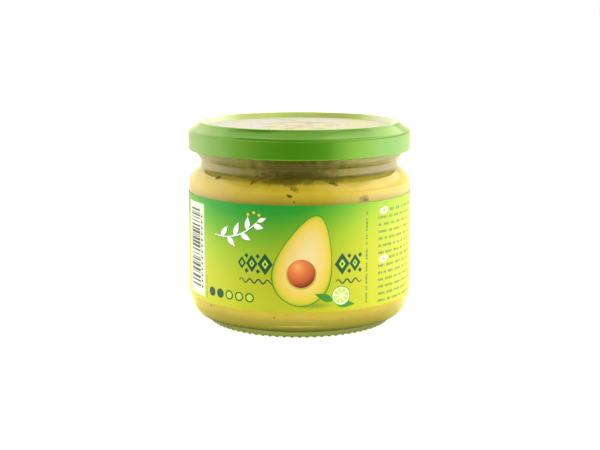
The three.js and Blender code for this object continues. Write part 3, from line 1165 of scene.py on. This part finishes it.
def flesh_colour(tree, flat):
    """Pale yellow round the stone, lime towards the skin."""
    place = add(tree, "SeparateXYZ", (fruit_place(tree, flat),))
    along = add(tree, "Math", (place.outputs["Y"], FRUIT_HALF_LENGTH), operation="DIVIDE")
    pear = add(tree, "Math", (along, FRUIT_PEAR), operation="MULTIPLY")
    slim = add(tree, "Math", (1.0, pear), operation="SUBTRACT")
    wide = add(tree, "Math", (place.outputs["X"], FRUIT_HALF_WIDTH), operation="DIVIDE")
    across = add(tree, "Math", (wide, slim), operation="DIVIDE")
    spot = add(tree, "CombineXYZ", {"X": across, "Y": along})
    out = add(tree, "VectorMath", (spot,), operation="LENGTH").outputs["Value"]
    return add(
        tree, "ValToRGB", (out,),
        stops=[
            (0.2, "#e0cc8c"), (0.6, "#dec46c"), (0.84, "#d6bd40"), (0.94, "#bbbb28"),
            (1.0, "#7f9a1a"),
        ],
    )


def stone_colour(tree, flat):
    """A round brown stone, lit from its upper left."""
    x, y = STONE_CENTRE
    lit = (1.9 - x, -2.0 - y, 0.0)
    place = add(tree, "VectorMath", (fruit_place(tree, flat), lit), operation="ADD")
    far = add(tree, "VectorMath", (place,), operation="LENGTH").outputs["Value"]
    reach = add(tree, "Math", (far, 1.55 * STONE_RADIUS), operation="DIVIDE")
    return add(
        tree, "ValToRGB", (reach,),
        stops=[(0.0, "#e8a060"), (0.3, "#d97a3c"), (0.68, "#bb5a2a"), (1.0, "#5c2612")],
    )


def label_inks():
    return {
        "ground": printed("offset-printed label paper, green to lime", ground_colour),
        "white": printed("label ink, opaque white", even("#f2f4ec", "#edf0e6")),
        "panel white": printed("label paper, bare coated white", even("#ced4c2", "#c9cfbe")),
        "black": printed("label ink, black", even("#3a3f38", "#42473f")),
        "small print": printed("label ink, olive tint", even("#94a82e", "#9db034")),
        "fine strokes": printed("label ink, grey green", even("#50681c", "#5a7424")),
        "dark green": printed("label ink, dark green", even("#10482c", "#175233")),
        "lime": printed("label ink, lime", even("#b9d334", "#b4cf30")),
        "yellow": printed("label ink, yellow", even("#f0c02c", "#eab628")),
        "leaf green": printed("label ink, leaf green", even("#3f8f2c", "#2f7a26")),
        "skin": printed("label ink, avocado skin", even("#44701c", "#4f7a20")),
        "flesh": printed("label ink, avocado flesh", flesh_colour),
        "hollow": printed("label ink, stone hollow", even("#c4a838", "#b4982e")),
        "stone": printed("label ink, avocado stone", stone_colour),
        "rind": printed("label ink, lime rind", even("#4f9a2c", "#5aa52f")),
        "pith": printed("label ink, lime pith", even("#eef2c4", "#e8eeb8")),
        "pulp": printed("label ink, lime pulp", even("#b4d65a", "#a5cc4a")),
    }


PANEL_TINT_REACH = 35.0  # from the lid's middle to where its cream is pinkest or yellowest
PANEL_CLOUDS = 0.09  # clouds a millimetre
RIM_INSIDE = CREST_RADIUS - 0.35  # the pale lacquer starts here
RIM_HIGHLIGHT_SPREAD = 0.5  # at the sides it starts this much further out, a painted highlight on the crest
RIM_BLEND = 0.3  # and it comes in over this
RIM_HIGHLIGHT_SIDE = (25.0, 33.0)  # it turns from lime to cream, a painted highlight, between these distances to the side


def lid_ground(tree, flat):
    """Cream, a little pink on the left and a little yellow on the right."""
    place = add(tree, "SeparateXYZ", (flat,))
    cloud = add(tree, "TexNoise", {"Vector": flat, "Scale": PANEL_CLOUDS, "Detail": 1.0})
    width = 2 * PANEL_TINT_REACH
    side = add(tree, "Math", (place.outputs["X"], 1 / width, cloud), operation="MULTIPLY_ADD")
    return add(
        tree, "ValToRGB", (side,), stops=[(0.2, "#ada5a5"), (0.5, "#a8a496"), (0.85, "#ada892")]
    )


def lid_inks():
    return {
        "lid ground": printed("tinplate print, cream", lid_ground),
        "lid olive": printed("tinplate print, pale olive", even("#8d8f5c", "#86884f")),
        "lid yellow": printed("tinplate print, pale yellow", even("#baad58", "#b4a750")),
        "lid blush": printed("tinplate print, blush", even("#b89a89", "#b29280")),
        "lid sand": printed("tinplate print, sand", even("#8d785c", "#857054")),
    }


def lacquer_material():
    """Gloss lacquer, roller coated and stoved on tinplate: clean green with a soft, yellow-green
    sheen and an orange peel of about 1.5 mm. Inside the rim it is pale lime at the front and the
    back, and at the sides a cream painted highlight that reaches onto the crest."""
    made, tree = new_material("green stoved lacquer on tinplate")
    position = add(tree, "TexCoord").outputs["Object"]
    peel = add(tree, "TexNoise", {"Vector": position, "Scale": LACQUER_PEEL, "Detail": 1.0})
    clouds = add(tree, "TexNoise", {"Vector": position, "Scale": LACQUER_CLOUDS})
    tone = add(tree, "Mix", (clouds, "#3d7a0b", "#427e0e"), data_type="RGBA")
    place = add(tree, "SeparateXYZ", (position,))
    across = add(tree, "Math", (place.outputs["X"],), operation="ABSOLUTE")
    lime, cream = (x * MM for x in RIM_HIGHLIGHT_SIDE)
    side = add(tree, "MapRange", (across, lime, cream), interpolation_type="SMOOTHSTEP")
    shift = (side, -RIM_HIGHLIGHT_SPREAD * MM, radius_of(tree, position))
    reach = add(tree, "Math", shift, operation="MULTIPLY_ADD")
    edge = RIM_INSIDE * MM
    inside = add(tree, "MapRange", (reach, edge - RIM_BLEND * MM, edge, 1.0, 0.0))
    # The cream at the sides is a painted highlight.
    pale = add(tree, "Mix", (side, "#a9b85e", "#bdb6a4"), data_type="RGBA")
    tone = add(tree, "Mix", (inside, tone, pale), data_type="RGBA")
    bump = add(tree, "Bump", {"Strength": 0.06, "Distance": 0.0001, "Height": peel})
    return shade(
        made,
        {
            "Base Color": tone, "Roughness": 0.12, "IOR": 1.6, "Specular IOR Level": 0.85,
            "Specular Tint": (0.72, 1.0, 0.4, 1.0), "Normal": bump,
        },
    )


# ---- Light, floor and camera ------------------------------------------------------------------

# The tent's panels: degrees round from the camera's side, + to the right. Each band of them,
# from the floor up, takes over from the one below between two heights in degrees, and has its
# levels of light. The lowest takes over from none.
TENT_ROUND = (-180, -150, -118, -88, -68, -50, -32, -12, 12, 28, 40, 52, 68, 88, 118, 150, 180)
TENT_BANDS = (
    (None, (0.8, 0.9, 0.9, 0.8, 0.75, 1.35, 1.6, 1.6, 1.65, 1.5, 1.7, 2.3, 3, 3, 2, 0.8, 0.8)),
    (
        (-36, -24),
        (1.1, 1.45, 2.65, 2.6, 1.6, 1, 0.35, 0.05, 0.1, 0.45, 1.75, 3, 3.7, 4.1, 3.1, 1.8, 1.1),
    ),
    (
        (-4, 4),
        (1.5, 1.85, 2.45, 2.5, 2.2, 2.05, 1.8, 1, 1.15, 1.25, 1.5, 1.6, 1.6, 1.75, 1.7, 1.5, 1.5),
    ),
    (
        (16, 24),
        (2.6, 2.3, 2.5, 2.25, 1.3, 1, 0.3, 0, 0.35, 0.65, 1.4, 2.45, 3.3, 3.6, 3.1, 3.2, 2.6),
    ),
    (
        (41, 49),
        (2.9, 2.05, 1.3, 0.05, 0, 0, 0.25, 0, 0, 0.75, 1.25, 1.85, 2.2, 1.25, 1.8, 3.4, 2.9),
    ),
    ((66, 76), (1.42,) * len(TENT_ROUND)),
)
TENT_POWER = 5.0  # a level of 1 in the ramps
# The tent's colour where it is mirrored: its red and green, and its blue at degrees round it.
TENT_GLEAM = (1.0, 0.935)
TENT_GLEAM_BLUE = (
    (-180, 0.62), (-110, 0.74), (-85, 0.74), (-62, 0.52), (60, 0.5), (88, 0.84), (118, 0.82),
    (138, 0.66), (180, 0.62),
)
FLOOR_REACH = 12.0  # metres from the jar to the floor's sides
FLOOR_POOL = (0.055, 0.13)  # metres out, where the floor's light starts to fade and is gone
FLOOR_RAMP = 0.05  # metres that stand for 1 in the floor's ramps
# Radius in millimetres, with the light's share there and with the floor's colour where mirrored.
FLOOR_SHADE = ((33.5, 0.95), (35.8, 0.22), (38.3, 0.22), (41.0, 1.0))
FLOOR_GLEAM = (
    (35.5, (1.0, 0.97, 0.6)), (38.0, (1.0, 0.94, 0.3)), (43.0, (1.0, 0.94, 0.28)),
    (50.0, (1.0, 0.97, 0.52)),
)
FLOOR_DARK = 0.25  # its own brightness in the shade
FLOOR_NEAR = 0.8  # and round the jar
FLOOR_SHINE = 0.88  # the lamps' light round the jar
FLOOR_SKIN = 0.5  # what the camera sees: brightness and glow
FLOOR_GLOW = 0.85

CAMERA_PLACE = (0.0002, -0.458, 0.11743)
CAMERA_DIP = 10.141  # degrees that it looks down
CAMERA_LENS = 72.0


def make_tent():
    """A white tent round the jar, with bright panels at its sides and dark ones in front. Where it
    is mirrored it is slightly warm. The camera sees plain white instead of it."""
    world = bpy.data.worlds.new("light tent")
    bpy.context.scene.world = world
    world.use_nodes = True
    tree = world.node_tree
    tree.nodes.clear()
    direction = add(tree, "TexCoord").outputs["Generated"]
    x, y, z = add(tree, "SeparateXYZ", (direction,)).outputs
    front = add(tree, "Math", (y, -1.0), operation="MULTIPLY")
    turn = add(tree, "Math", (x, front), operation="ARCTAN2")
    round_tent = add(tree, "Math", (turn, 0.5 / math.pi, 0.5), operation="MULTIPLY_ADD")
    slope = add(tree, "Math", (z,), operation="ARCSINE")
    rise = add(tree, "Math", (slope, 180 / math.pi), operation="MULTIPLY")
    level = None
    for heights, band in TENT_BANDS:
        stops = [((t + 180) / 360, grey(n / TENT_POWER)) for t, n in zip(TENT_ROUND, band)]
        panels = add(tree, "ValToRGB", (round_tent,), stops=stops)
        if heights:
            share = add(tree, "MapRange", (rise, *heights), interpolation_type="SMOOTHSTEP")
            panels = add(tree, "Mix", (share, level, panels), data_type="RGBA")
        level = panels
    bright = add(tree, "Math", (level, TENT_POWER), operation="MULTIPLY")
    stops = [((t + 180) / 360, (*TENT_GLEAM, blue, 1.0)) for t, blue in TENT_GLEAM_BLUE]
    gleam = add(tree, "ValToRGB", (round_tent,), stops=stops)
    path = add(tree, "LightPath")
    seen, mirrored = path.outputs["Is Camera Ray"], path.outputs["Is Glossy Ray"]
    strength = add(tree, "Mix", (seen, bright, 1.0), data_type="FLOAT")
    tint = add(tree, "Mix", (mirrored, grey(1.0), gleam), data_type="RGBA")
    lit = add(tree, "Background", {"Color": tint, "Strength": strength})
    add(tree, "OutputWorld", {"Surface": lit})


def opal_material():
    """Opal acrylic over lamps: an even white glow round the jar, which fades out further away and
    lies in shade under the heel. The camera sees it plain and pale all over."""
    made, tree = new_material("opal light table")
    path = add(tree, "LightPath")
    seen, mirrored = path.outputs["Is Camera Ray"], path.outputs["Is Glossy Ray"]
    position = add(tree, "TexCoord").outputs["Object"]
    away = add(tree, "VectorMath", (position,), operation="LENGTH").outputs["Value"]
    inner, outer = FLOOR_POOL
    faded = add(tree, "MapRange", (away, inner, outer), interpolation_type="SMOOTHSTEP")
    out = add(tree, "Math", (away, FLOOR_RAMP), operation="DIVIDE")
    stops = [(r * MM / FLOOR_RAMP, (*colour, 1.0)) for r, colour in FLOOR_GLEAM]
    gleam = add(tree, "ValToRGB", (out,), stops=stops)
    hue = add(tree, "Mix", (mirrored, grey(1.0), gleam), data_type="RGBA")
    tone = add(tree, "Mix", (1.0, hue, grey(FLOOR_NEAR)), data_type="RGBA", blend_type="MULTIPLY")
    near = add(tree, "BsdfDiffuse", {"Color": tone})
    shine = add(tree, "Emission", {"Color": hue, "Strength": FLOOR_SHINE})
    lit_near = add(tree, "AddShader", (near, shine))
    stops = [(r * MM / FLOOR_RAMP, grey(share)) for r, share in FLOOR_SHADE]
    light = add(tree, "ValToRGB", (out,), stops=stops)
    dark = add(tree, "BsdfDiffuse", {"Color": grey(FLOOR_DARK)})
    lit_near = add(tree, "MixShader", (light, dark, lit_near))
    open_tent = add(tree, "BsdfTransparent")
    opal = add(tree, "MixShader", (faded, lit_near, open_tent))
    glow = add(tree, "Emission", {"Color": grey(1.0), "Strength": FLOOR_GLOW})
    skin = add(tree, "BsdfDiffuse", {"Color": grey(FLOOR_SKIN)})
    lit_skin = add(tree, "AddShader", (skin, glow))
    both = add(tree, "MixShader", (seen, opal, lit_skin))
    add(tree, "OutputMaterial", {"Surface": both})
    return made


def make_floor():
    mesh = bpy.data.meshes.new("floor")
    reach = FLOOR_REACH
    corners = [(-reach, -reach, 0), (reach, -reach, 0), (reach, reach, 0), (-reach, reach, 0)]
    mesh.from_pydata(corners, [], [(0, 1, 2, 3)])
    mesh.materials.append(opal_material())
    floor = show("floor", mesh)


def make_camera():
    lens = bpy.data.cameras.new("camera")
    lens.lens = CAMERA_LENS
    lens.sensor_width = 36.0
    lens.clip_start = 0.01
    camera = bpy.data.objects.new("camera", lens)
    camera.location = CAMERA_PLACE
    camera.rotation_euler = (math.radians(90 - CAMERA_DIP), 0, 0)
    bpy.context.scene.collection.objects.link(camera)
    bpy.context.scene.camera = camera


# ---- The jar, put together --------------------------------------------------------------------

TURNING = turning_tree()

make_camera()
make_tent()
make_floor()

glass = turn_piece(
    "glass_jar", outer_glass() + inner_glass(0.0), GLASS_SEGMENTS, glass_material(), WIDE_CREASE,
    KNURL_COUNT,
)
dip = turn_piece("dip", dip_section(), DIP_SEGMENTS, dip_material())
lid = turn_piece("twist_off_lid", lid_section(), LID_SEGMENTS, lacquer_material())
inks = label_inks()
label = make_label(inks, inks["panel white"])

lid_print = make_lid_print(lid_inks(), lid.data.materials[0])
flecks = grow("herb_flecks", fleck_points(), fleck_tree(), {"Finish": herb_material()})
smooth(flecks.data, WIDE_CREASE)

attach(glass, "root")
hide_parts("jar")
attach(dip, "root")
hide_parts("guacamole")
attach(flecks, "root")
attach(label, "root")
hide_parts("label")
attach(lid, "root")
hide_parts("lid")
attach(lid_print, "root")

scene = bpy.context.scene
scene.view_settings.view_transform = "Standard"
scene.view_settings.look = "None"
